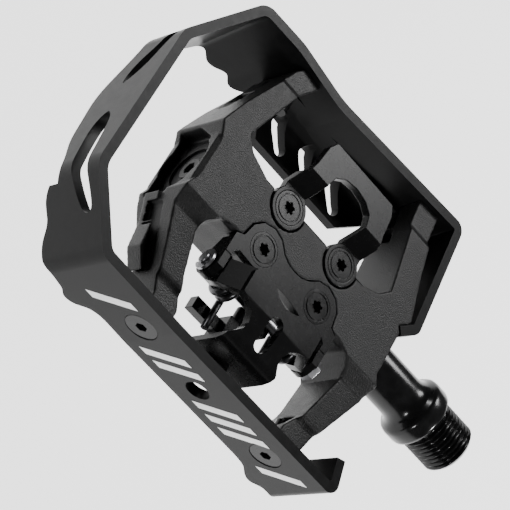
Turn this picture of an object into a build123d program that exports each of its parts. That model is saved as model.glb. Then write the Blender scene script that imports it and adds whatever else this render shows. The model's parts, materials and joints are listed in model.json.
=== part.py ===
from build123d import *
import math
import os

# Single-sided clipless bicycle pedal, left hand.
# Frame, in mm: +X along the spindle towards the crank, +Y forwards (fixed claw side),
# +Z up through the clipless face.  Parts are drawn about the middle of the four binding
# screws on the spindle axis, and saved with the origin moved along the axis to the
# shoulder that seats on the crank.

# ---- driving dimensions ----
BODY_TOP = 9.0              # upper face of the body above the axis
BODY_BOTTOM = -9.0
BODY_OUT = -34.0            # outboard end of the barrel
BODY_IN = 33.0              # inboard end of the barrel
BARREL_Y = 8.6              # half width of the barrel block
REAR_TONGUE_TOP = 5.2       # upper face of the rear mounting tongues
FRONT_TONGUE_TOP = 7.8      # upper face of the front mounting tongues
TONGUE_BOTTOM = -5.0
SKIRT_TOP = 0.4             # lower flange that runs round the outer side of the arms

RIM_TOP = 9.3               # upper rim of the cage
CAGE_T = 2.5                # cage strip thickness
CAGE_LOW = -16.0            # lowest level the strip is lofted to before trimming

SCREW_X = 9.7               # binding screws
SCREW_Y = 6.4
SCREW_HEAD_R = 4.0
SCREW_SHANK_R = 2.2
SCREW_CONE = 1.8            # depth of the countersunk head
SCREW_LENGTH = 6.0
SCREW_RECESS_R = 1.55       # six-lobed driver recess
SCREW_RECESS_DEPTH = 1.4
RIM_GROOVE = (3.35, 3.05, 0.18)     # turned groove round the head: outer and inner radius, depth
THREAD_GAP = 0.05           # screw shanks and the holes in the plates differ from the hole by this
SEAT_Z = 7.0                # floor of the recesses the claws sit in
PLATE_T = 2.2               # pressed steel thickness of claws and plate
PLATE_TOP = SEAT_Z + PLATE_T

CAGE_SCREW_XS = (-20.8, 22.9)
CAGE_SCREW_Z = 0.5
CAGE_SCREW_HEAD_R = 4.0
CAGE_SCREW_SHANK_R = 2.0
CAGE_SCREW_CONE = 2.0
CAGE_SCREW_LENGTH = 9.4
CAGE_SCREW_HEX_R = 2.5 / math.sqrt(3)
CAGE_SCREW_HEX_DEPTH = 1.6
SEAT_GAP = 0.1              # seats of the cage screws are wider and deeper than the screws by this
HEAD_SINK = 0.15            # how far the cage screw heads sit below the face

PIN_Y = -16.5               # rear claw pivot
PIN_Z = 5.0
PIN_R = 1.5
PIN_FIT = 0.05
EAR_IN_X = 15.9             # inner face of the bent-down ears of the cleat plate
EAR_OUT_X = 17.9
EAR_R = 3.4                 # rounding of all ears round the pivot
CLAW_EAR_IN_X = 13.2        # rear claw ears
CLAW_EAR_X = 15.4
CLAW_TOP = 14.3             # top of the rear claw
CLAW_BAR_TOP = 14.6         # top of the fixed claw bar

BOLT_Z = -0.8               # tension bolt axis
BOLT_R = 2.0
BOLT_FRONT_Y = -15.0
BOLT_HEAD_R = 3.3
BOLT_HEAD_T = 1.75
BOLT_HEX_R = 1.73           # key socket, to its corners
BOLT_HEX_DEPTH = 1.5
TAIL_Y = -30.7              # outer face of the rear claw's tail
TAIL_INNER_Y = -28.5
NUT_Y = -23.0               # tension nut at its slackest
NUT_BLOCK = (8.4, 6.0, 6.4)
NUT_BLOCK_Z = -0.9
NUT_WINGS = (25.6, 3.2, 2.8)
NUT_WINGS_Z = -1.2
NUT_POST = (2.6, 2.4, 9.6)
NUT_POST_Z = 6.0
NUT_POST_FORWARD = 0.8
WINDOW_Y = -23.7            # window in the rear claw
WINDOW_LENGTH = 9.2
WINDOW_WIDTH = 3.8
ACCESS_R = 3.0              # hole in the cage for the key that turns the bolt

COIL_R = 3.6                # torsion springs round the pivot pin
WIRE_R = 0.9
COIL_X = 8.1
COIL_PITCH = 2.0
COIL_TURNS = 2
LEG_REAR_Y = -27.0          # ends of the spring legs
LEG_FRONT_Y = -9.2
BEND_SWELL = 0.04           # the wire swells slightly at each bend

BALL_COUNT = 11             # outboard bearing
BALL_R = 0.98
BALL_CIRCLE_R = 5.9
BALL_X = -21.2

SHAFT_R = 6.0
COLLAR_R = 8.6
COLLAR_X = 51.0
THREAD_R = 7.144            # 9/16 in thread, major radius
THREAD_X = 56.0
SPINDLE_END = 68.0
JOURNAL_R = 5.9
WAIST_R = 4.6
STUB_R = 4.0
NUT_STUB_R = 3.0
BEARING_BORE_R = 7.4
RUN_FIT = 0.05

os.makedirs("parts", exist_ok=True)


# ---- helpers ----
def polygon(points):
    return make_face(Polyline(*points, close=True))


def prism(points, z0, z1):
    """Plan polygon raised between two heights."""
    return Pos(0, 0, z0) * extrude(polygon(points), z1 - z0)


def carried_x(face, x0, x1):
    """A (y, z) face carried along X."""
    plane = Plane(origin=(x0, 0, 0), x_dir=(0, 1, 0), z_dir=(1, 0, 0))
    return extrude(plane * face, x1 - x0, dir=(1, 0, 0))


def carried_y(face, y0, y1):
    """An (x, z) face carried along Y."""
    plane = Plane(origin=(0, y0, 0), x_dir=(1, 0, 0), z_dir=(0, -1, 0))
    return extrude(plane * face, y1 - y0, dir=(0, 1, 0))


def prism_x(points, x0, x1):
    """Polygon of (y, z) points carried along X."""
    return carried_x(polygon(points), x0, x1)


def prism_y(points, y0, y1):
    """Polygon of (x, z) points carried along Y."""
    return carried_y(polygon(points), y0, y1)


def rod_x(radius, x0, x1, y=0.0, z=0.0):
    """Cylinder along X."""
    body = Cylinder(radius, x1 - x0, align=(Align.CENTER, Align.CENTER, Align.MIN))
    return Pos(x0, y, z) * Rot(0, 90, 0) * body


def rod_y(radius, y0, y1, x=0.0, z=0.0):
    """Cylinder along Y."""
    body = Cylinder(radius, y1 - y0, align=(Align.CENTER, Align.CENTER, Align.MIN))
    return Pos(x, y0, z) * Rot(-90, 0, 0) * body


def rod_z(radius, z0, z1, x=0.0, y=0.0):
    """Cylinder along Z."""
    body = Cylinder(radius, z1 - z0, align=(Align.CENTER, Align.CENTER, Align.MIN))
    return Pos(x, y, z0) * body


def ring_x(outer, inner, x0, x1, y=0.0, z=0.0):
    """Plain ring along X."""
    return rod_x(outer, x0, x1, y, z) - rod_x(inner, x0 - 1, x1 + 1, y, z)


def turned_x(profile):
    """Revolve (x, r) points about the X axis."""
    face = make_face(Polyline(*[(x, r, 0) for x, r in profile], close=True))
    return revolve(face, Axis.X, 360)


def hex_cut_x(across_flats, x0, x1):
    """Hexagonal bar along X."""
    sketch = Plane(origin=(x0, 0, 0), z_dir=(1, 0, 0)) * RegularPolygon(across_flats / math.sqrt(3), 6)
    return extrude(sketch, x1 - x0, dir=(1, 0, 0))


def mirror_x(shape):
    return mirror(shape, Plane.YZ)


def bevel(shape, edges, size):
    try:
        cut = chamfer(edges, size)
        if cut.is_valid:
            return cut
    except (ValueError, RuntimeError):
        pass
    return shape


def save(shape, name):
    placed = Pos(-THREAD_X, 0, 0) * shape
    placed.label = name
    export_step(placed, f"parts/{name}.step")


# ---- cage ----
# outer edge of the strip, from the rear inboard tab round the nose to the front inboard tab
CAGE_PLAN = [((36.6, -29.4), 0), ((39.2, -38.4), 2.6), ((-17.5, -37.9), 30), ((-28.0, -37.6), 30),
             ((-41.9, -37.2), 5), ((-55.1, -21.8), 7), ((-55.5, 17.9), 6), ((-42.1, 40.3), 5),
             ((-28.6, 40.7), 20), ((-12.0, 38.4), 30), ((34.6, 41.2), 3), ((37.8, 9.4), 3),
             ((33.6, 5.4), 0)]
CAGE_LEAN = {7: 4.6, 8: 4.8, 9: 3.6, 10: 3.4}      # how far the front plate leans in at the bottom


def turn_sign(pts, i):
    """+1 where the strip turns round a point on its inner side, -1 where it turns the other way."""
    a = pts[i] - pts[i - 1]
    b = pts[i + 1] - pts[i]
    return 1 if a.X * b.Y - a.Y * b.X < 0 else -1


def strip_path(points, inset):
    """Corner arcs and straights of one edge of the strip, moved in by inset."""
    n = len(points)
    pts = [Vector(*p) for p, _ in points]
    normals = []
    for i in range(n - 1):
        t = (pts[i + 1] - pts[i]).normalized()
        normals.append(Vector(t.Y, -t.X))
    moved = [pts[0] + normals[0] * inset]
    for i in range(1, n - 1):
        a, b = normals[i - 1], normals[i]
        moved.append(pts[i] + (a + b) * (inset / (1 + a.dot(b))))
    moved.append(pts[-1] + normals[-1] * inset)
    pieces = []
    start = moved[0]
    for i in range(1, n - 1):
        r = max(points[i][1] - inset * turn_sign(pts, i), 0.4)
        u = (moved[i - 1] - moved[i]).normalized()
        v = (moved[i + 1] - moved[i]).normalized()
        half = math.acos(max(-1, min(1, u.dot(v)))) / 2
        d = r / math.tan(half)
        p, q = moved[i] + u * d, moved[i] + v * d
        mid = moved[i] + (u + v).normalized() * (r / math.sin(half) - r)
        pieces.append(("line", start, p))
        pieces.append(("arc", p, mid, q))
        start = q
    pieces.append(("line", start, moved[-1]))
    return pieces


def strip_face(points, z):
    """Closed plan of the whole strip at height z."""
    outer = strip_path(points, 0.0)
    inner = strip_path(points, CAGE_T)
    edges = []
    for piece in outer + inner:
        ends = [(p.X, p.Y, z) for p in piece[1:]]
        if piece[0] == "line":
            edges.append(Edge.make_line(ends[0], ends[1]))
        else:
            edges.append(Edge.make_three_point_arc(ends[0], ends[1], ends[2]))
    a0, b0 = outer[0][1], inner[0][1]
    a1, b1 = outer[-1][2], inner[-1][2]
    edges.append(Edge.make_line((a0.X, a0.Y, z), (b0.X, b0.Y, z)))
    edges.append(Edge.make_line((a1.X, a1.Y, z), (b1.X, b1.Y, z)))
    return Face(Wire.combine(edges)[0])


def strip_solid():
    """The bent strip before its edges are trimmed."""
    bottom = []
    for i, (p, r) in enumerate(CAGE_PLAN):
        bottom.append(((p[0], p[1] - CAGE_LEAN.get(i, 0.0)), r))
    return loft([strip_face(CAGE_PLAN, RIM_TOP), strip_face(bottom, CAGE_LOW)], ruled=True)


# wavy lower edges of the strip: (along, z)
REAR_EDGE = [(-57.0, -5.2), (-55.0, -6.2), (-52.6, -9.4), (-50.6, -10.4), (-48.4, -10.2), (-45.4, -12.4),
             (-43.0, -12.8), (-40.4, -11.8), (-37.4, -12.2), (-35.4, -12.8), (-33.4, -14.3),
             (-31.2, -13.8), (-28.6, -10.4), (-26.0, -9.0), (-22.0, -8.8), (-8.0, -8.8), (8.0, -8.8),
             (18.0, -8.8), (22.4, -8.9), (25.4, -9.6), (28.0, -11.6),
             (30.8, -12.4), (33.0, -10.6), (36.6, -10.4), (42.0, -9.2)]
NOSE_EDGE = [(-24.0, -5.6), (-19.0, -5.6), (-13.0, -8.4), (-5.5, -9.7), (1.5, -10.1), (7.0, -8.2),
             (12.0, -5.8), (17.5, -3.9), (21.0, -3.6)]
FRONT_EDGE = [(-57.0, -3.6), (-54.6, -4.2), (-51.0, -8.6), (-48.0, -9.6), (-45.0, -12.4), (-42.0, -12.6),
              (-39.4, -11.8), (-36.6, -13.6), (-34.0, -13.4), (-31.0, -12.0), (-28.4, -13.8),
              (-25.6, -12.4), (-23.0, -9.6), (-19.0, -9.1), (-8.0, -9.0), (8.0, -9.0), (16.0, -9.0),
              (20.0, -9.0), (25.4, -9.6), (28.0, -11.6), (30.8, -12.2),
              (33.0, -10.6), (38.0, -10.0)]
FRONT_TAB_EDGE = [(3.0, 5.2), (9.0, 4.8), (12.0, 3.4), (15.0, -0.6), (20.0, -5.0), (26.0, -8.0),
                  (32.0, -9.6), (44.0, -10.2)]
CORNER_SLOT_TURN = 25.0     # degrees from -X towards -Y
CORNER_SLOT_START = 44.0
CORNER_SLOT_REACH = 22.0
CORNER_SLOT = [(-18.5, 0.2), (-17.2, 1.6), (-12.5, 3.3), (-7.0, 4.4), (-0.4, 5.5), (4.0, 6.1), (6.4, 5.6),
               (6.7, 4.2), (4.6, 2.0), (-0.4, 0.0), (-5.2, -1.3), (-10.7, -2.5), (-15.2, -2.7),
               (-17.8, -1.5)]
NOSE_LENS = [(4.4, -2.6), (8.0, -2.4), (12.5, 0.0), (16.5, 2.6), (20.5, 4.6), (20.5, 7.0), (16.0, 5.6),
             (10.5, 3.2), (6.0, 0.2)]
LIP_SLOT_XS = (-12.8, -2.4, 8.0)
LIP_SLOT_Y = 30.2
LIP_SLOT_TURN = -41.0
LIP_SLOT_SIZE = (9.6, 3.3)


def below(edge, floor=-20.0):
    """Everything under a smoothly waving edge, down to the floor, as a cutting outline."""
    wave = Spline(*edge)
    sides = Polyline(edge[-1], (edge[-1][0], floor), (edge[0][0], floor), edge[0])
    return make_face([*wave.edges(), *sides.edges()])


def rounded_slot(points):
    """Slot with a smooth outline through the points."""
    return make_face(Spline(*points, periodic=True).edges())


def corner_slot():
    """Slot round the rear outboard corner, cut square to the line that halves the corner."""
    a = math.radians(CORNER_SLOT_TURN)
    outward = Vector(-math.cos(a), -math.sin(a), 0)
    along = Vector(math.sin(a), -math.cos(a), 0)
    plane = Plane(origin=outward * CORNER_SLOT_START, x_dir=along, z_dir=outward)
    return extrude(plane * rounded_slot(CORNER_SLOT), CORNER_SLOT_REACH)


def lip_blank():
    """Lip under the front plate that carries the shoe on the flat side."""
    outer = [(37.6, 1.0), (36.9, -4.0), (35.4, -7.6), (33.0, -9.6), (30.4, -10.4), (24.9, -10.9)]
    inner = [(25.1, -8.4), (30.0, -7.9), (31.8, -7.2), (33.2, -5.8), (34.4, -3.0), (35.1, 1.0)]
    keep = [(-23.0, 40.0), (-23.0, 34.0), (-17.8, 26.0), (-16.6, 24.0), (12.4, 24.0), (14.2, 25.6),
            (21.6, 33.0), (21.6, 40.0)]
    return prism_x(outer + inner, -23.0, 21.6) & prism(keep, -14.0, 4.0)


def plate_y(side, x):
    """Outer face of the cage plate at the cage screws, as a distance from the axis."""
    if side < 0:
        return 37.9 + (x + 17.5) * (38.4 - 37.9) / 56.7
    rim = 38.4 + (x + 12.0) * (41.2 - 38.4) / 46.6
    if x < -12.0:
        rim = 38.4 + (-12.0 - x) * (40.7 - 38.4) / 16.6
    lean = 3.6 * (RIM_TOP - CAGE_SCREW_Z) / (RIM_TOP - CAGE_LOW)
    return rim - lean


def countersunk(radius, shank, depth):
    """Countersunk screw head with its wide end at z = 0, pointing down."""
    return Cone(shank, radius, depth, align=(Align.CENTER, Align.CENTER, Align.MAX))


def place_y(shape, side, x, y, z):
    """Turn a part modelled pointing down -Z so that it points at the axis from the given side."""
    turned = Rot(-90, 0, 0) * shape
    if side < 0:
        turned = mirror(turned, Plane.XZ)
    return Pos(x, side * y, z) * turned


def cage():
    strip = strip_solid()
    strip -= carried_y(below(REAR_EDGE), -45, -20.8)
    strip -= carried_x(below(NOSE_EDGE), -60, -49.5)
    strip -= carried_y(below(FRONT_EDGE), 17.0, 45)
    strip -= carried_x(below(FRONT_TAB_EDGE), 31.4, 45)
    strip -= corner_slot()
    strip -= carried_x(rounded_slot(NOSE_LENS), -60, -52.0)
    lip = lip_blank()
    for x in LIP_SLOT_XS:
        sketch = Pos(x, LIP_SLOT_Y) * Rot(0, 0, LIP_SLOT_TURN) * SlotOverall(*LIP_SLOT_SIZE)
        lip -= Pos(0, 0, -14) * extrude(sketch, 14)
    solid = strip + lip
    for x in CAGE_SCREW_XS:
        for side in (-1, 1):
            face = plate_y(side, x) - HEAD_SINK
            head_r, shank_r = CAGE_SCREW_HEAD_R + SEAT_GAP, CAGE_SCREW_SHANK_R + SEAT_GAP
            tool = countersunk(head_r, shank_r, CAGE_SCREW_CONE + SEAT_GAP)
            tool += rod_z(shank_r, -8, 0)
            tool += rod_z(head_r, 0, 4)
            solid -= place_y(tool, side, x, face, CAGE_SCREW_Z)
    solid -= rod_y(ACCESS_R, -45, -30, 0, BOLT_Z)
    return solid


# ---- body ----
ARM_PLANS = {
    "rear_out": [(-33.0, -5.0), (-34.6, -9.0), (-33.4, -12.4), (-29.9, -20.0), (-27.0, -26.6),
                 (-24.6, -31.0), (-24.0, -37.0), (-17.0, -37.0), (-17.2, -30.6), (-21.0, -23.8),
                 (-24.8, -14.0), (-24.8, -11.0), (-22.8, -8.8), (-17.0, -7.0)],
    "rear_in": [(32.0, -5.0), (34.8, -9.4), (34.6, -13.4), (29.3, -27.8), (28.2, -32.4),
                (27.4, -37.0), (20.0, -37.0), (20.8, -31.0), (23.4, -26.4), (26.6, -13.0),
                (25.2, -10.6), (22.6, -8.8), (17.0, -7.0)],
    "front_out": [(-33.0, 5.0), (-35.4, 10.0), (-32.8, 18.0), (-28.6, 28.2), (-26.4, 33.4),
                  (-25.7, 35.2), (-24.2, 37.0), (-22.2, 38.0), (-21.4, 40.0), (-17.2, 40.0),
                  (-18.4, 36.0), (-22.4, 29.6), (-27.6, 12.5),
                  (-24.5, 9.5), (-17.0, 7.0)],
    "front_in": [(32.0, 5.0), (34.6, 10.5), (30.8, 21.8), (28.6, 30.0), (28.0, 35.0),
                 (27.4, 40.0), (20.4, 40.0), (21.0, 35.0), (21.6, 29.0),
                 (25.3, 12.2), (22.6, 9.2), (17.0, 7.0)],
}
REAR_ARM_SIDE = [(-4, BODY_TOP), (-9.2, BODY_TOP), (-12.6, REAR_TONGUE_TOP + 0.9), (-26.6, REAR_TONGUE_TOP),
                 (-27.8, REAR_TONGUE_TOP - 1.1), (-38, REAR_TONGUE_TOP - 1.1), (-38, TONGUE_BOTTOM),
                 (-24, TONGUE_BOTTOM), (-12, BODY_BOTTOM + 1.0), (-4, BODY_BOTTOM)]
FRONT_ARM_SIDE = [(4, BODY_TOP), (29.0, BODY_TOP), (30.6, FRONT_TONGUE_TOP), (38.5, FRONT_TONGUE_TOP),
                  (36.3, TONGUE_BOTTOM), (24, TONGUE_BOTTOM), (12, BODY_BOTTOM + 1.0), (4, BODY_BOTTOM)]
# lower flange along the outer side of the arms, standing out past their upper edges
SKIRTS = [
    [(-33.4, -4.0), (-35.4, -9.0), (-32.6, -16.2), (-31.6, -23.0), (-28.2, -27.4), (-26.0, -24.0),
     (-28.0, -12.0), (-28.0, -4.0)],
    [(-33.4, 4.0), (-34.4, 6.0), (-33.0, 13.0), (-31.8, 18.0), (-27.2, 32.4), (-25.0, 32.0),
     (-28.0, 16.0), (-28.0, 4.0)],
]
# grooves between the upper edges of the outboard arms and the flange
ARM_GROOVES = [
    [(-34.4, -11.4), (-30.6, -21.6), (-28.2, -27.0), (-27.0, -26.2), (-29.2, -20.8), (-32.6, -12.0)],
    [(-34.6, 11.6), (-32.2, 19.0), (-29.2, 27.0), (-28.0, 26.4), (-30.8, 18.4), (-33.0, 11.0)],
]
ARM_GROOVE_LOW = -3.4
ARM_GROOVE_HIGH = 1.6
# arched recess in front of the outboard end cap, (y, z)
CAP_ARCH = [(-9.8, -6.4), (9.4, -6.4), (9.4, 0.6), (6.6, 5.2), (-6.0, 5.2), (-9.8, 0.6)]
CLEAT_PLATE_PLAN = [(-17.9, -8.4), (-15.8, -7.4), (-15.0, -3.6), (-13.0, -1.3), (-9.9, -0.4),
                    (-7.0, -1.1), (-4.6, -3.2), (-2.4, -4.2), (0.0, -4.5), (2.4, -4.2), (4.6, -3.2),
                    (7.0, -1.1), (9.9, -0.4), (13.0, -1.3), (15.0, -3.6), (15.8, -7.4), (17.9, -8.4),
                    (17.9, -13.6), (15.9, -13.6), (15.9, -12.0), (14.9, -11.2), (7.6, -11.7),
                    (4.0, -11.0), (0.0, -10.6), (-4.0, -11.0), (-7.6, -11.7), (-14.9, -11.2),
                    (-15.9, -12.0), (-15.9, -13.6), (-17.9, -13.6)]


def cleat_plate_face(grow=0.0):
    """Plan of the cleat plate: two screw lobes joined by a waist, with side straps for the ears."""
    face = polygon(CLEAT_PLATE_PLAN)
    if grow:
        face = offset(face, grow, kind=Kind.INTERSECTION)
    return face


def front_ear_face(grow=0.0):
    """Plan of one ear of the fixed claw, on the +X side."""
    lobe = Pos(SCREW_X, SCREW_Y) * Circle(5.1 + grow)
    strap = Pos(10.3, 10.0) * Rectangle(6.6 + 2 * grow, 8.0 + 2 * grow)
    return lobe + strap


def body():
    barrel = [(-BARREL_Y, BODY_TOP - 1.0), (-BARREL_Y + 1.0, BODY_TOP), (7.0, BODY_TOP),
              (8.0, BODY_TOP - 1.0), (BARREL_Y, 3.0), (BARREL_Y, BODY_BOTTOM + 2.0),
              (6.6, BODY_BOTTOM), (-6.6, BODY_BOTTOM), (-BARREL_Y, BODY_BOTTOM + 2.0)]
    solid = prism_x(barrel, BODY_OUT, BODY_IN)
    solid = bevel(solid, solid.faces().sort_by(Axis.X)[0].edges(), 1.0)
    for name, plan in ARM_PLANS.items():
        side_view = REAR_ARM_SIDE if name.startswith("rear") else FRONT_ARM_SIDE
        arm = prism(plan, BODY_BOTTOM, BODY_TOP)
        solid += arm & prism_x(side_view, -45, 45)
    for skirt in SKIRTS:
        solid += prism(skirt, TONGUE_BOTTOM, SKIRT_TOP)
    # the tongues end where they meet the strip and its lip
    solid -= strip_solid()
    solid -= lip_blank()
    for groove in ARM_GROOVES:
        solid -= prism(groove, ARM_GROOVE_LOW, ARM_GROOVE_HIGH)
    solid -= prism_x(CAP_ARCH, -42.0, -31.4)
    # bores for ball bearing, waist, sleeve and seal
    solid -= rod_x(BEARING_BORE_R, -42, -17.0)
    solid -= rod_x(WAIST_R + 0.6, -18, 18)
    solid -= rod_x(BEARING_BORE_R, 16.6, 42)
    # seats and threaded holes for the binding parts
    solid -= Pos(0, 0, SEAT_Z) * extrude(cleat_plate_face(0.3), 6)
    ear = Pos(0, 0, SEAT_Z) * extrude(front_ear_face(0.35), 6)
    solid -= ear
    solid -= mirror_x(ear)
    for x in (-SCREW_X, SCREW_X):
        for y in (-SCREW_Y, SCREW_Y):
            solid -= rod_z(SCREW_SHANK_R, 3.0, SEAT_Z + 1, x, y)
    for x in CAGE_SCREW_XS:
        solid -= rod_y(CAGE_SCREW_SHANK_R, -40, -26.5, x, CAGE_SCREW_Z)
        solid -= rod_y(CAGE_SCREW_SHANK_R, 26.5, 42, x, CAGE_SCREW_Z)
    return solid


# ---- screws ----
def lobed_recess(radius, depth):
    """Six-lobed driver recess sunk from z = 0."""
    tool = Pos(0, 0, -depth) * Cylinder(radius * 0.78, depth, align=(Align.CENTER, Align.CENTER, Align.MIN))
    for k in range(6):
        a = math.radians(60 * k + 30)
        lobe = Cylinder(radius * 0.28, depth, align=(Align.CENTER, Align.CENTER, Align.MIN))
        tool += Pos(radius * 0.76 * math.cos(a), radius * 0.76 * math.sin(a), -depth) * lobe
    return tool


def binding_screw():
    """Countersunk binding screw, head face at z = 0."""
    shank_r = SCREW_SHANK_R - THREAD_GAP
    screw = countersunk(SCREW_HEAD_R, shank_r, SCREW_CONE)
    screw += rod_z(shank_r, -SCREW_LENGTH, 0)
    screw -= lobed_recess(SCREW_RECESS_R, SCREW_RECESS_DEPTH)
    outer, inner, depth = RIM_GROOVE
    groove = rod_z(outer, -depth, 1) - rod_z(inner, -1, 2)
    return screw - groove


def cage_screw():
    """Countersunk cage screw with a hexagon socket, head face at z = 0."""
    shank_r = CAGE_SCREW_SHANK_R - THREAD_GAP
    screw = countersunk(CAGE_SCREW_HEAD_R, shank_r, CAGE_SCREW_CONE)
    screw += rod_z(shank_r, -CAGE_SCREW_LENGTH, 0)
    socket = extrude(RegularPolygon(CAGE_SCREW_HEX_R, 6), -CAGE_SCREW_HEX_DEPTH)
    return screw - socket


def group(shapes):
    """Keep like parts together as separate solids in one file."""
    return Compound(children=[s if isinstance(s, Solid) else s.solids()[0] for s in shapes])


def binding_screws(y):
    return group([Pos(x, y, PLATE_TOP) * binding_screw() for x in (-SCREW_X, SCREW_X)])


def cage_screws():
    placed = []
    for x in CAGE_SCREW_XS:
        for side in (-1, 1):
            face = plate_y(side, x) - HEAD_SINK
            placed.append(place_y(cage_screw(), side, x, face, CAGE_SCREW_Z))
    return group(placed)


# ---- binding ----
def screw_hole(x, y):
    """Countersunk hole for a binding screw, cut from the plate top."""
    tool = countersunk(SCREW_HEAD_R + THREAD_GAP, SCREW_SHANK_R + THREAD_GAP, SCREW_CONE)
    tool += rod_z(SCREW_SHANK_R + THREAD_GAP, -SCREW_LENGTH, 0)
    tool += rod_z(SCREW_HEAD_R + THREAD_GAP, 0, 2)
    return Pos(x, y, PLATE_TOP) * tool


def pivot_ear(x0, x1, front, top):
    """Side ear with a rounded end about the pivot pin, as seen along X."""
    web = [(front, top), (front, PIN_Z), (PIN_Y + 1.6, PIN_Z - 2.9), (PIN_Y - 2.6, PIN_Z - 1.9),
           (PIN_Y - EAR_R, PIN_Z + 0.4), (PIN_Y - 1.0, top)]
    return prism_x(web, x0, x1) + rod_x(EAR_R, x0, x1, PIN_Y, PIN_Z)


def cleat_plate():
    plate = Pos(0, 0, SEAT_Z) * extrude(cleat_plate_face(), PLATE_T)
    ear = pivot_ear(EAR_IN_X, EAR_OUT_X, -9.3, PLATE_TOP - 0.2)
    plate += ear
    plate += mirror_x(ear)
    plate -= rod_x(PIN_R + 0.02, -30, 30, PIN_Y, PIN_Z)
    for x in (-SCREW_X, SCREW_X):
        plate -= screw_hole(x, -SCREW_Y)
    return plate


def front_claw():
    """Fixed U-shaped claw: two ears on the body, rising to a bar over the cleat toe."""
    low, high = SEAT_Z, CLAW_BAR_TOP - PLATE_T
    side_view = [(0, low), (12.2, low), (15.4, high), (25.4, high), (25.0, CLAW_BAR_TOP),
                 (14.6, CLAW_BAR_TOP), (11.2, PLATE_TOP), (0, PLATE_TOP)]
    plan = Sketch() + front_ear_face() + mirror(front_ear_face(), Plane.YZ)
    hoop = [(-13.6, 8.0), (-13.4, 13.0), (-12.4, 17.0), (-11.8, 22.4), (-10.4, 24.9), (10.4, 24.9),
            (11.8, 22.4), (12.4, 17.0), (13.4, 13.0), (13.6, 8.0), (7.0, 8.0), (7.0, 15.0),
            (6.2, 17.8), (3.6, 19.6), (0.0, 20.2), (-3.6, 19.6), (-6.2, 17.8), (-7.0, 15.0),
            (-7.0, 8.0)]
    plan += polygon(hoop)
    claw = extrude(plan, 20) & prism_x(side_view, -16, 16)
    for x in (-SCREW_X, SCREW_X):
        claw -= screw_hole(x, SCREW_Y)
    return claw


def rear_claw():
    """Sprung claw: jaw plate, side ears on the pivot pin and a tail down to the bolt flange."""
    skin = [(-13.9, CLAW_TOP), (-20.8, CLAW_TOP), (-22.6, 13.9), (-26.6, 13.1), (-28.7, 12.2),
            (-30.1, 10.6), (TAIL_Y, 8.2), (TAIL_Y, -4.2), (TAIL_INNER_Y, -4.2), (TAIL_INNER_Y, 7.8),
            (-28.0, 9.2), (-27.1, 10.2), (-25.6, 10.9), (-22.2, 11.7), (-20.5, 12.1), (-13.9, 12.1)]
    plan = [(-10.8, -13.9), (-5.0, -13.9), (-3.0, -15.5), (0.0, -16.3), (3.0, -15.5), (5.0, -13.9),
            (10.8, -13.9), (11.6, -15.0), (11.6, -20.8), (8.7, -21.6), (6.8, -23.0), (5.9, -25.0),
            (6.1, -26.8), (7.2, -28.2), (8.2, -29.2), (8.2, -33.0), (-8.2, -33.0), (-8.2, -29.2),
            (-7.2, -28.2), (-6.1, -26.8), (-5.9, -25.0), (-6.8, -23.0), (-8.7, -21.6), (-11.6, -20.8),
            (-11.6, -15.0)]
    claw = prism_x(skin, -16, 16) & prism(plan, -8, 20)
    shoulder = [(10.5, CLAW_TOP), (CLAW_EAR_X, 8.4), (CLAW_EAR_X, 1.4), (CLAW_EAR_IN_X, 1.4),
                (CLAW_EAR_IN_X, 7.6), (9.4, 12.1), (9.0, 13.0)]
    ear = prism_y(shoulder, -20.8, -13.9)
    ear_side = [(-13.9, 16), (-13.1, PIN_Z), (-13.9, PIN_Z - 2.2), (PIN_Y, PIN_Z - EAR_R),
                (PIN_Y - 2.6, PIN_Z - 2.2), (PIN_Y - EAR_R, PIN_Z), (-20.8, 8.0), (-20.8, 16)]
    ear = ear & prism_x(ear_side, 8, 16)
    claw += ear
    claw += mirror_x(ear)
    claw -= rod_x(PIN_R + PIN_FIT, -30, 30, PIN_Y, PIN_Z)
    window = Pos(0, WINDOW_Y) * SlotOverall(WINDOW_LENGTH, WINDOW_WIDTH, rotation=90)
    claw -= Pos(0, 0, 9) * extrude(window, 20)
    claw -= rod_y(BOLT_R + 0.1, -36, -28, 0, BOLT_Z)
    return claw


def claw_pivot_pin():
    pin = rod_x(PIN_R, -19.6, 18.2, PIN_Y, PIN_Z)
    head = Pos(18.0, PIN_Y, PIN_Z) * Rot(0, 90, 0) * extrude(RegularPolygon(2.9, 6), 1.9)
    pin += head
    pin -= ring_x(PIN_R + 1, PIN_R - 0.35, -19.0, -18.1, PIN_Y, PIN_Z)
    return pin


def pivot_clip():
    """Snap ring in the groove at the outboard end of the pin."""
    clip = ring_x(2.8, PIN_R - 0.3, -18.9, -18.2, PIN_Y, PIN_Z)
    gap = Pos(-18.6, PIN_Y, PIN_Z - 2.2) * Box(2, 1.4, 2.6)
    return clip - gap


def claw_spring():
    """Inboard torsion spring: full turns round the pin with a leg towards the body and one rearwards."""
    height = COIL_PITCH * COIL_TURNS
    path = Helix(COIL_PITCH, height, COIL_R)
    section = Plane(origin=path @ 0, z_dir=path % 0) * Circle(WIRE_R)
    coil = sweep(section, path=path, is_frenet=True)
    # turn the helix so that both ends lie at the bottom of the pin
    coil = Pos(COIL_X, PIN_Y, PIN_Z) * Rot(0, 90, 0) * coil
    leg_z = PIN_Z - COIL_R
    rear_leg = rod_y(WIRE_R, LEG_REAR_Y, PIN_Y, COIL_X, leg_z)
    front_leg = rod_y(WIRE_R, PIN_Y, LEG_FRONT_Y, COIL_X + height, leg_z)
    spring = coil + rear_leg + front_leg
    # a rounded bend where each straight leg leaves the coil
    for x in (COIL_X, COIL_X + height):
        spring += Pos(x, PIN_Y, leg_z) * Sphere(WIRE_R + BEND_SWELL)
    return spring


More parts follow.
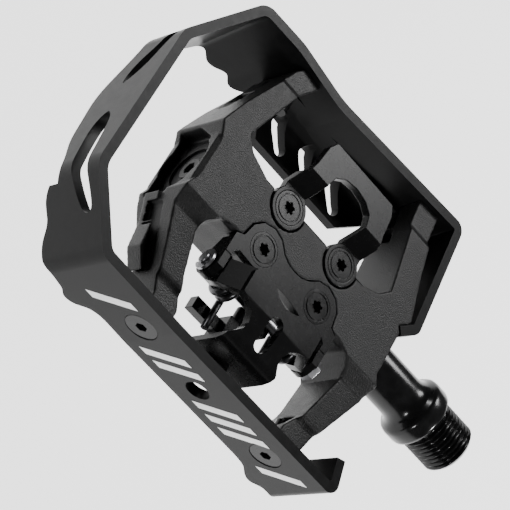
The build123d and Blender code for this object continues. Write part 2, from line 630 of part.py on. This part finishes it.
def tension_bolt():
    head_y = TAIL_Y - HEAD_SINK
    bolt = rod_y(BOLT_R, head_y - 0.05, BOLT_FRONT_Y, 0, BOLT_Z)
    bolt += rod_y(BOLT_HEAD_R, head_y - BOLT_HEAD_T, head_y, 0, BOLT_Z)
    outline = Plane(origin=(0, head_y - BOLT_HEAD_T - 1, BOLT_Z), x_dir=(1, 0, 0), z_dir=(0, 1, 0))
    return bolt - extrude(outline * RegularPolygon(BOLT_HEX_R, 6), BOLT_HEX_DEPTH + 1)


def tension_nut():
    """Saddle nut with wings under the spring legs and a post that shows in the claw window."""
    block = Pos(0, NUT_Y, NUT_BLOCK_Z) * Box(*NUT_BLOCK)
    wings = Pos(0, NUT_Y, NUT_WINGS_Z) * Box(*NUT_WINGS)
    post = Pos(0, NUT_Y + NUT_POST_FORWARD, NUT_POST_Z) * Box(*NUT_POST)
    nut = block + wings + post
    return nut - rod_y(BOLT_R + 0.06, -40, 0, 0, BOLT_Z)


# ---- spindle and bearings ----
def spindle():
    profile = [(-28.6, 0), (-28.6, 2.6), (-28.2, NUT_STUB_R), (-24.2, NUT_STUB_R), (-24.2, STUB_R),
               (-18.2, STUB_R), (-18.2, WAIST_R), (16.7, WAIST_R), (17.6, JOURNAL_R), (29.2, JOURNAL_R),
               (29.5, SHAFT_R), (47.0, SHAFT_R), (48.6, 6.15), (49.8, 6.6), (50.6, 7.3), (COLLAR_X, 8.0),
               (51.5, 8.42), (52.4, COLLAR_R), (55.0, COLLAR_R), (55.7, 8.45),
               (THREAD_X, 8.1), (THREAD_X, THREAD_R), (SPINDLE_END - 0.9, THREAD_R), (SPINDLE_END, 6.3),
               (SPINDLE_END, 0)]
    shaft = turned_x(profile)
    return shaft - hex_cut_x(8.0, SPINDLE_END - 7.0, SPINDLE_END + 1)


def groove_ring(x):
    """Torus swept by the balls."""
    return Pos(x, 0, 0) * Rot(0, 90, 0) * Torus(BALL_CIRCLE_R, BALL_R + 0.05)


def bearing_inner_race():
    return ring_x(5.3, STUB_R + 0.02, -24.2, -18.25) - groove_ring(BALL_X)


def bearing_outer_race():
    return ring_x(BEARING_BORE_R - 0.02, 6.5, -24.2, -18.25) - groove_ring(BALL_X)


def bearing_balls():
    ball = Pos(BALL_X, 0, BALL_CIRCLE_R) * Sphere(BALL_R)
    return group([Rot(360 * k / BALL_COUNT, 0, 0) * ball for k in range(BALL_COUNT)])


def bearing_retainer():
    ring = ring_x(6.25, 5.55, -22.9, -19.5)
    for k in range(BALL_COUNT):
        turn = 360 * k / BALL_COUNT
        pocket = Pos(BALL_X, 0, BALL_CIRCLE_R) * Cylinder(BALL_R + 0.06, 3)
        ring -= Rot(turn, 0, 0) * pocket
    return ring


def spindle_washer():
    return ring_x(4.9, NUT_STUB_R + 0.03, -25.1, -24.25)


def spindle_nut():
    nut = hex_cut_x(9.0, -28.0, -25.15)
    return nut - rod_x(NUT_STUB_R + 0.02, -30, -20)


def inboard_sleeve():
    return ring_x(BEARING_BORE_R - 0.02, JOURNAL_R + RUN_FIT, 17.0, 29.0)


def dust_seal():
    seal = turned_x([(29.6, SHAFT_R + RUN_FIT), (29.6, BEARING_BORE_R - 0.02), (33.2, BEARING_BORE_R - 0.02),
                     (33.6, 7.0), (33.6, 6.6), (32.6, 6.4), (33.4, SHAFT_R + RUN_FIT)])
    return seal


def end_cap():
    cap = rod_x(BEARING_BORE_R - 0.03, -31.6, -29.2)
    dish = rod_x(5.9, -32, -31.0)
    cap -= dish
    cap += rod_x(2.9, -31.7, -30.9)
    return cap - hex_cut_x(3.0, -32.5, -30.2)


def main():
    parts = {
        "body": body(),
        "cage": cage(),
        "cage_screws": cage_screws(),
        "cleat_plate": cleat_plate(),
        "cleat_plate_screws": binding_screws(-SCREW_Y),
        "front_claw": front_claw(),
        "front_claw_screws": binding_screws(SCREW_Y),
        "rear_claw": rear_claw(),
        "claw_pivot_pin": claw_pivot_pin(),
        "pivot_clip": pivot_clip(),
        "spring_inboard": claw_spring(),
        "spring_outboard": mirror_x(claw_spring()),
        "tension_bolt": tension_bolt(),
        "tension_nut": tension_nut(),
        "spindle": spindle(),
        "bearing_inner_race": bearing_inner_race(),
        "bearing_outer_race": bearing_outer_race(),
        "bearing_balls": bearing_balls(),
        "bearing_retainer": bearing_retainer(),
        "spindle_washer": spindle_washer(),
        "spindle_nut": spindle_nut(),
        "inboard_sleeve": inboard_sleeve(),
        "dust_seal": dust_seal(),
        "end_cap": end_cap(),
    }
    for name, shape in parts.items():
        save(shape, name)


main()
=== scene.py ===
"""Looks for a clipless pedal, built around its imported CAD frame."""
import json
import math

import bmesh
import bpy
from mathutils import Matrix, Vector
from mathutils.bvhtree import BVHTree


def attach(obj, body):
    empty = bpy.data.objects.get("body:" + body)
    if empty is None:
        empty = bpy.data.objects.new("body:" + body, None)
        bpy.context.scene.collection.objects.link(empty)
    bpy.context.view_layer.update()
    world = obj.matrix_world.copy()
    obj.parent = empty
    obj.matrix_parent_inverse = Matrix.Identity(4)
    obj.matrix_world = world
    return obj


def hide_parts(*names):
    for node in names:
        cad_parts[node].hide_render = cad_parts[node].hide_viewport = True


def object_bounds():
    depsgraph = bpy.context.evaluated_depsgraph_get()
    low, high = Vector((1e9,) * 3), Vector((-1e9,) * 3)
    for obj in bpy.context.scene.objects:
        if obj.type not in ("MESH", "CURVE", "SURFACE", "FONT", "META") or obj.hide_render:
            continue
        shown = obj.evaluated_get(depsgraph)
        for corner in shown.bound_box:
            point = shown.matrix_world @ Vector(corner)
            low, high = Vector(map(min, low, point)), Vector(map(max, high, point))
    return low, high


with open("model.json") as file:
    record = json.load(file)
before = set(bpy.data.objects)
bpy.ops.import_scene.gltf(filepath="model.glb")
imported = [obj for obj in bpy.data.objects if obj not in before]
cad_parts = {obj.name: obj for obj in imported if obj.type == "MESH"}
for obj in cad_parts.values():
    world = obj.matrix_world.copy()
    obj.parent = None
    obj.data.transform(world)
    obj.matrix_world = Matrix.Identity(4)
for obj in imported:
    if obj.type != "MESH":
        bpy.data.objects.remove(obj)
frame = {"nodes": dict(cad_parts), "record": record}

cad_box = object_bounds()
MIDDLE = Vector([(a + b) / 2 for a, b in zip(*cad_box)])
MM = 0.001

# a long lens above the outboard rear corner, rolled so that the spindle points down to the right
LENS = 150.711
SENSOR = 36.0
CAMERA_PLACE = (-0.26450, -0.24906, 0.36417)
CAMERA_RIGHT = (0.617577, 0.447978, 0.646463)
CAMERA_UP = (-0.665809, 0.735319, 0.126507)
FLOOR_DROP = 0.10           # the floor lies well below, as the pedal is held by its spindle
FLOOR_HALF = 3.0
FLOOR_GLOW = 1.3
WORLD_GLOW = 0.10
LAMPS = [                   # name, place, diameter, watts
    ("top_softbox", (0.22, 0.68, 0.75), 0.40, 9),
    ("left_strip", (-0.80, 0.45, 0.42), 0.14, 1.6),
    ("rear_strip", (-0.10, -0.90, 0.42), 0.12, 3),
    ("crank_side_strip", (0.80, -0.20, 0.45), 0.16, 9),
]

NOISE_LOW, NOISE_HIGH = 0.35, 0.65      # where most of a noise's values lie
COLOR_LOW, COLOR_HIGH = 0.4, 0.6        # noise values of the dark and the light colour
BLOTCHES = 420              # per metre
BLUE_TINT = 1.04            # the blacks are very slightly blue

SHIFT = 56 * MM             # from the middle of the binding screws to the shoulder
PITCH = 25.4 / 20 * MM      # 20 threads per inch
THREAD_R = 7.144 * MM
THREAD_DEPTH = 0.74 * MM
THREAD_ROWS = 110
THREAD_SLOPE = 2.5          # steepness of the thread's flanks
THREAD_ROOT = 0.12          # share of the depth taken by the flat root
THREAD_FADE_IN = 0.8        # in pitches, at the shoulder
THREAD_FADE_OUT = 0.5       # in pitches, at the tip
RING_X_TOL = 0.005 * MM
RING_R_TOL = 0.01 * MM

PAINT_T = 0.04 * MM
PAINT_SINK = 1.5            # thickness of the paint, some of it under the surface, as a multiple of PAINT_T
BAR_START = -34.0           # slanted dashes along the plate, in mm
BAR_PITCH = 4.6
BAR_COUNT = 14
BAR_WIDTH = 2.5
BAR_LEAN = 0.62
BAR_LOW, BAR_HIGH = -5.6, 4.2
BAR_COLUMNS, BAR_ROWS = 14, 5
BAR_MARGIN = 0.9            # least gap between a dash and a hole
RAY_START_Y = -0.06
PLATE_HOLES = [(-20.8, 4.4), (22.9, 4.4), (0.0, 3.4)]   # x and radius kept clear, in mm

WELD = 1e-6
FLAT_ANGLE = 0.05           # degrees; faces flatter than this to each other are merged
BEVEL_ANGLE = 32            # degrees; sharper edges are broken
BEVEL_STEPS = 3
CREASE = 40                 # degrees; sharper edges stay sharp in the shading
THREAD_CREASE = 38
CAST_VOXEL = 0.25 * MM
CAST_FACTOR = 0.5
CAST_ROUNDS = 8
EDGED = [                   # new piece, CAD part, body, bevel in mm
    ("cage_shell", "cage", "pedal_body", 0.22),
    ("cleat_plate_pressing", "cleat_plate", "pedal_body", 0.15),
    ("front_claw_pressing", "front_claw", "pedal_body", 0.25),
    ("rear_claw_pressing", "rear_claw", "jaw", 0.25),
    ("cleat_plate_screw_set", "cleat_plate_screws", "pedal_body", 0.12),
    ("front_claw_screw_set", "front_claw_screws", "pedal_body", 0.12),
    ("cage_screw_set", "cage_screws", "pedal_body", 0.12),
    ("pivot_pin_turned", "claw_pivot_pin", "pedal_body", 0.2),
    ("saddle_nut_forged", "tension_nut", "saddle_nut", 0.3),
    ("tension_bolt_turned", "tension_bolt", "bolt", 0.2),
]


# ---- camera, floor and light ----
def aim(obj, place, target):
    obj.location = place
    obj.rotation_euler = (Vector(target) - Vector(place)).to_track_quat("-Z", "Y").to_euler()


def add_camera():
    data = bpy.data.cameras.new("camera")
    data.lens = LENS
    data.sensor_width = SENSOR
    data.clip_start = 0.01
    data.clip_end = 20.0
    camera = bpy.data.objects.new("camera", data)
    bpy.context.scene.collection.objects.link(camera)
    right = Vector(CAMERA_RIGHT)
    up = Vector(CAMERA_UP)
    turn = Matrix((right, up, right.cross(up))).transposed().to_4x4()
    camera.matrix_world = Matrix.Translation(Vector(CAMERA_PLACE)) @ turn
    bpy.context.scene.camera = camera


def add_area(name, place, size, watts):
    data = bpy.data.lights.new(name, "AREA")
    data.shape = "DISK"
    data.size = size
    data.energy = watts
    lamp = bpy.data.objects.new(name, data)
    bpy.context.scene.collection.objects.link(lamp)
    aim(lamp, place, MIDDLE)


def add_studio():
    mesh = bpy.data.meshes.new("floor")
    s = FLOOR_HALF
    low = cad_box[0][2] - FLOOR_DROP
    mesh.from_pydata([(-s, -s, low), (s, -s, low), (s, s, low), (-s, s, low)], [], [(0, 1, 2, 3)])
    floor = bpy.data.objects.new("floor", mesh)
    bpy.context.scene.collection.objects.link(floor)
    paper = bpy.data.materials.new("floor_paper")
    paper.use_nodes = True
    shader = paper.node_tree.nodes["Principled BSDF"]
    shader.inputs["Base Color"].default_value = (1.0, 1.0, 1.0, 1)
    shader.inputs["Roughness"].default_value = 0.9
    shader.inputs["Emission Color"].default_value = (1, 1, 1, 1)
    shader.inputs["Emission Strength"].default_value = FLOOR_GLOW
    mesh.materials.append(paper)
    world = bpy.data.worlds.new("studio")
    world.use_nodes = True
    background = world.node_tree.nodes["Background"]
    background.inputs["Color"].default_value = (1, 1, 1, 1)
    background.inputs["Strength"].default_value = WORLD_GLOW
    bpy.context.scene.world = world
    for lamp in LAMPS:
        add_area(*lamp)


# ---- materials ----
def new_material(name, color, metallic, roughness):
    mat = bpy.data.materials.new(name)
    mat.use_nodes = True
    shader = mat.node_tree.nodes["Principled BSDF"]
    shader.inputs["Base Color"].default_value = (*color, 1)
    shader.inputs["Metallic"].default_value = metallic
    shader.inputs["Roughness"].default_value = roughness
    return mat, mat.node_tree, shader


def noise(tree, scale, detail, stretch=(1, 1, 1)):
    """Noise over the object's own coordinates; scale is in waves per metre."""
    place = tree.nodes.new("ShaderNodeTexCoord")
    mapping = tree.nodes.new("ShaderNodeMapping")
    mapping.inputs["Scale"].default_value = stretch
    tree.links.new(place.outputs["Object"], mapping.inputs["Vector"])
    tex = tree.nodes.new("ShaderNodeTexNoise")
    tex.inputs["Scale"].default_value = scale
    tex.inputs["Detail"].default_value = detail
    tree.links.new(mapping.outputs["Vector"], tex.inputs["Vector"])
    return tex.outputs["Fac"]


def ramp_value(tree, source, low, high):
    """Maps the middle of a noise's values to low..high."""
    node = tree.nodes.new("ShaderNodeMapRange")
    node.inputs["From Min"].default_value = NOISE_LOW
    node.inputs["From Max"].default_value = NOISE_HIGH
    node.inputs["To Min"].default_value = low
    node.inputs["To Max"].default_value = high
    tree.links.new(source, node.inputs["Value"])
    return node.outputs["Result"]


def ramp_color(tree, source, dark, light):
    node = tree.nodes.new("ShaderNodeValToRGB")
    node.color_ramp.elements[0].position = COLOR_LOW
    node.color_ramp.elements[0].color = (*dark, 1)
    node.color_ramp.elements[1].position = COLOR_HIGH
    node.color_ramp.elements[1].color = (*light, 1)
    tree.links.new(source, node.inputs["Fac"])
    return node.outputs["Color"]


def add_bump(tree, shader, source, depth, strength):
    bump = tree.nodes.new("ShaderNodeBump")
    bump.inputs["Strength"].default_value = strength
    bump.inputs["Distance"].default_value = depth
    tree.links.new(source, bump.inputs["Height"])
    tree.links.new(bump.outputs["Normal"], shader.inputs["Normal"])


def grained(name, dark, light, metallic, rough, gloss, grain, depth, strength, stretch=(1, 1, 1)):
    """A finish with grain in its bump, blotches in its roughness and a slight change of colour."""
    mat, tree, shader = new_material(name, light, metallic, rough[0])
    shader.inputs["Specular IOR Level"].default_value = gloss
    fine = noise(tree, grain, 3, stretch)
    broad = noise(tree, BLOTCHES, 5)
    tree.links.new(ramp_color(tree, broad, dark, light), shader.inputs["Base Color"])
    tree.links.new(ramp_value(tree, broad, *rough), shader.inputs["Roughness"])
    add_bump(tree, shader, fine, depth, strength)
    return mat


FINISHES = {
    # slot: dark and light colour, metallic, roughness range, specular level, grain per metre, depth in mm,
    # strength, stretch
    "body_black": (0.0045, 0.0065, 0.0, (0.40, 0.46), 0.24, 3000, 0.14, 0.75, (1, 1, 1)),
    "cage_black": (0.0040, 0.0052, 0.0, (0.34, 0.38), 0.085, 5200, 0.03, 0.4, (1, 1, 1)),
    "binding_black": (0.005, 0.006, 0.10, (0.26, 0.28), 0.13, 3600, 0.012, 0.30, (1, 1, 1)),
    "screw_black": (0.005, 0.008, 0.15, (0.20, 0.24), 0.15, 4200, 0.012, 0.3, (1, 1, 1)),
    "bright_steel": (0.34, 0.42, 1.0, (0.30, 0.36), 0.5, 3000, 0.004, 0.1, (1, 1, 1)),
    "spring_steel": (0.05, 0.08, 0.9, (0.26, 0.34), 0.5, 2400, 0.02, 0.3, (6, 1, 1)),
    "spindle_black": (0.007, 0.010, 0.4, (0.17, 0.22), 0.4, 2600, 0.006, 0.3, (8, 1, 1)),
    "bearing_steel": (0.62, 0.72, 1.0, (0.08, 0.14), 0.5, 1200, 0.01, 0.1, (1, 1, 1)),
    "retainer_black": (0.02, 0.035, 0.0, (0.50, 0.60), 0.4, 900, 0.02, 0.3, (1, 1, 1)),
    "sleeve_grey": (0.16, 0.22, 0.0, (0.50, 0.62), 0.4, 900, 0.02, 0.3, (1, 1, 1)),
    "seal_black": (0.008, 0.014, 0.0, (0.55, 0.68), 0.3, 1100, 0.03, 0.4, (1, 1, 1)),
    "cap_black": (0.006, 0.010, 0.0, (0.42, 0.52), 0.25, 1800, 0.03, 0.4, (1, 1, 1)),
}


def make_materials():
    """One finish for each material slot of the record."""
    made = {}
    for name, (dark, light, metallic, rough, gloss, grain, depth, strength, stretch) in FINISHES.items():
        colors = [(tone, tone, tone * BLUE_TINT) for tone in (dark, light)]
        made[name] = grained(name, *colors, metallic, rough, gloss, grain, depth * MM, strength, stretch)
    return made


# ---- pieces ----
def finish_piece(obj, body, slot, mat, *replaced):
    obj.data.materials.clear()
    obj.data.materials.append(mat)
    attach(obj, body)
    if replaced:
        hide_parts(*replaced)
    return obj


def mesh_object(name, bm):
    mesh = bpy.data.meshes.new(name)
    bm.to_mesh(mesh)
    bm.free()
    obj = bpy.data.objects.new(name, mesh)
    bpy.context.scene.collection.objects.link(obj)
    return obj


def apply_modifiers(obj):
    bpy.context.view_layer.update()
    depsgraph = bpy.context.evaluated_depsgraph_get()
    result = bpy.data.meshes.new_from_object(obj.evaluated_get(depsgraph))
    obj.modifiers.clear()
    obj.data = result


def shade(obj, degrees):
    """Smooth shading that keeps a crease at every edge sharper than the angle."""
    mesh = obj.data
    bm = bmesh.new()
    bm.from_mesh(mesh)
    for face in bm.faces:
        face.smooth = True
    for edge in bm.edges:
        edge.smooth = len(edge.link_faces) == 2 and edge.calc_face_angle(0) < math.radians(degrees)
    bm.to_mesh(mesh)
    bm.free()


def node_copy(name, node):
    mesh = frame["nodes"][node].data.copy()
    obj = bpy.data.objects.new(name, mesh)
    bpy.context.scene.collection.objects.link(obj)
    return obj


def edged(name, node, width):
    """A copy of a part with its flats merged and its edges broken by a small bevel."""
    obj = node_copy(name, node)
    bm = bmesh.new()
    bm.from_mesh(obj.data)
    bmesh.ops.remove_doubles(bm, verts=bm.verts, dist=WELD)
    bmesh.ops.dissolve_limit(bm, angle_limit=math.radians(FLAT_ANGLE), verts=bm.verts, edges=bm.edges)
    bmesh.ops.recalc_face_normals(bm, faces=bm.faces)
    bm.to_mesh(obj.data)
    bm.free()
    bevel = obj.modifiers.new("edges", "BEVEL")
    bevel.width = width
    bevel.segments = BEVEL_STEPS
    bevel.limit_method = "ANGLE"
    bevel.angle_limit = math.radians(BEVEL_ANGLE)
    bevel.use_clamp_overlap = True
    apply_modifiers(obj)
    shade(obj, CREASE)
    weighted = obj.modifiers.new("flat_flats", "WEIGHTED_NORMAL")
    weighted.keep_sharp = True
    return obj


def ring_of(bm, x, radius):
    """Vertices on the circle of that radius at x, in order of their angle about the spindle axis."""
    found = [v for v in bm.verts if abs(v.co.x - x) < RING_X_TOL
             and abs(math.hypot(v.co.y, v.co.z) - radius) < RING_R_TOL]
    return sorted(found, key=lambda v: math.atan2(v.co.z, v.co.y))


def thread_radius(x, angle, length):
    """Radius of a 60 degree left-hand thread, fading out at the shoulder and at the tip."""
    phase = (x / PITCH + angle / math.tau) % 1
    crest = min(1.0, max(0.0, abs(phase - 0.5) * THREAD_SLOPE - THREAD_ROOT))
    fade = min(1.0, x / (THREAD_FADE_IN * PITCH), (length - x) / (THREAD_FADE_OUT * PITCH))
    return THREAD_R - THREAD_DEPTH * (1 - crest) * max(0.0, fade)


def threaded_spindle():
    """The spindle with its plain thread zone cut out and a helical one put between the same two rings."""
    obj = node_copy("spindle_threaded", "spindle")
    bm = bmesh.new()
    bm.from_mesh(obj.data)
    bmesh.ops.remove_doubles(bm, verts=bm.verts, dist=WELD)
    side = [f for f in bm.faces
            if all(abs(math.hypot(v.co.y, v.co.z) - THREAD_R) < RING_R_TOL for v in f.verts)]
    length = max(v.co.x for f in side for v in f.verts)
    bmesh.ops.delete(bm, geom=side, context="FACES")
    start = ring_of(bm, 0.0, THREAD_R)
    end = ring_of(bm, length, THREAD_R)
    rows = [start]
    for k in range(1, THREAD_ROWS):
        x = length * k / THREAD_ROWS
        row = []
        for v in start:
            angle = math.atan2(v.co.z, v.co.y)
            r = thread_radius(x, angle, length)
            row.append(bm.verts.new((x, r * math.cos(angle), r * math.sin(angle))))
        rows.append(row)
    rows.append(end)
    for low, high in zip(rows, rows[1:]):
        if len(low) != len(high):
            raise ValueError("the rings at the two ends of the thread differ")
        for k in range(len(low)):
            n = (k + 1) % len(low)
            bm.faces.new((low[k], high[k], high[n], low[n]))
    bmesh.ops.recalc_face_normals(bm, faces=bm.faces)
    bm.to_mesh(obj.data)
    bm.free()
    shade(obj, THREAD_CREASE)
    return obj


def slanted_bar(name, tree, x0, x1, z0, z1, lean):
    """A thin painted bar that follows the outer face of the rear plate."""
    bm = bmesh.new()
    grid = []
    for j in range(BAR_ROWS + 1):
        z = z0 + (z1 - z0) * j / BAR_ROWS
        row = []
        for i in range(BAR_COLUMNS + 1):
            x = x0 + (x1 - x0) * i / BAR_COLUMNS + lean * (z - z0)
            hit = tree.ray_cast(Vector((x, RAY_START_Y, z)), Vector((0, 1, 0)))[0]
            if hit is None:
                raise ValueError(f"{name} runs off the plate")
            row.append(bm.verts.new((x, max(hit.y - PAINT_T, cad_box[0][1]), z)))
        grid.append(row)
    for j in range(BAR_ROWS):
        for i in range(BAR_COLUMNS):
            bm.faces.new((grid[j][i], grid[j][i + 1], grid[j + 1][i + 1], grid[j + 1][i]))
    obj = mesh_object(name, bm)
    solid = obj.modifiers.new("thickness", "SOLIDIFY")
    solid.thickness = PAINT_T * PAINT_SINK
    solid.offset = -1
    apply_modifiers(obj)
    shade(obj, CREASE)
    return obj


def painted_bars(mat):
    """A row of plain slanted dashes that leaves the plate's screws and key hole clear."""
    cage = frame["nodes"]["cage"].data
    tree = BVHTree.FromPolygons([v.co for v in cage.vertices], [p.vertices for p in cage.polygons])
    start = BAR_START
    for k in range(BAR_COUNT):
        x0 = start + k * BAR_PITCH
        middle = x0 + BAR_WIDTH / 2 + BAR_LEAN * (BAR_HIGH - BAR_LOW) / 2
        reach = BAR_WIDTH / 2 + BAR_MARGIN
        if any(abs(middle - x) < r + reach for x, r in PLATE_HOLES):
            continue
        bar = slanted_bar(f"plate_dash_{k}", tree, x0 * MM - SHIFT, (x0 + BAR_WIDTH) * MM - SHIFT,
                          BAR_LOW * MM, BAR_HIGH * MM, BAR_LEAN)
        finish_piece(bar, "pedal_body", "cage_black", mat)


def cast(name, node):
    """A copy of a part with edges as soft as a casting's."""
    obj = node_copy(name, node)
    remesh = obj.modifiers.new("skin", "REMESH")
    remesh.mode = "VOXEL"
    remesh.voxel_size = CAST_VOXEL
    remesh.use_smooth_shade = True
    smooth = obj.modifiers.new("soften", "SMOOTH")
    smooth.factor = CAST_FACTOR
    smooth.iterations = CAST_ROUNDS
    apply_modifiers(obj)
    return obj


add_camera()
add_studio()
materials = make_materials()
slots = {s["node"]: s["material_slot"] for s in frame["record"]["subparts"]}
for node, obj in frame["nodes"].items():
    obj.data.materials.clear()
    obj.data.materials.append(materials[slots[node]])

finish_piece(cast("body_casting", "body"), "pedal_body", "body_black", materials["body_black"], "body")
for piece, node, body, width in EDGED:
    shape = edged(piece, node, width * MM)
    finish_piece(shape, body, slots[node], materials[slots[node]], node)
finish_piece(threaded_spindle(), "spindle_set", "spindle_black", materials["spindle_black"], "spindle")
white = grained("plate_white", (0.80, 0.80, 0.80), (0.88, 0.88, 0.88), 0.0, (0.38, 0.5), 0.3, 2400,
                0.01 * MM, 0.2)
painted_bars(white)
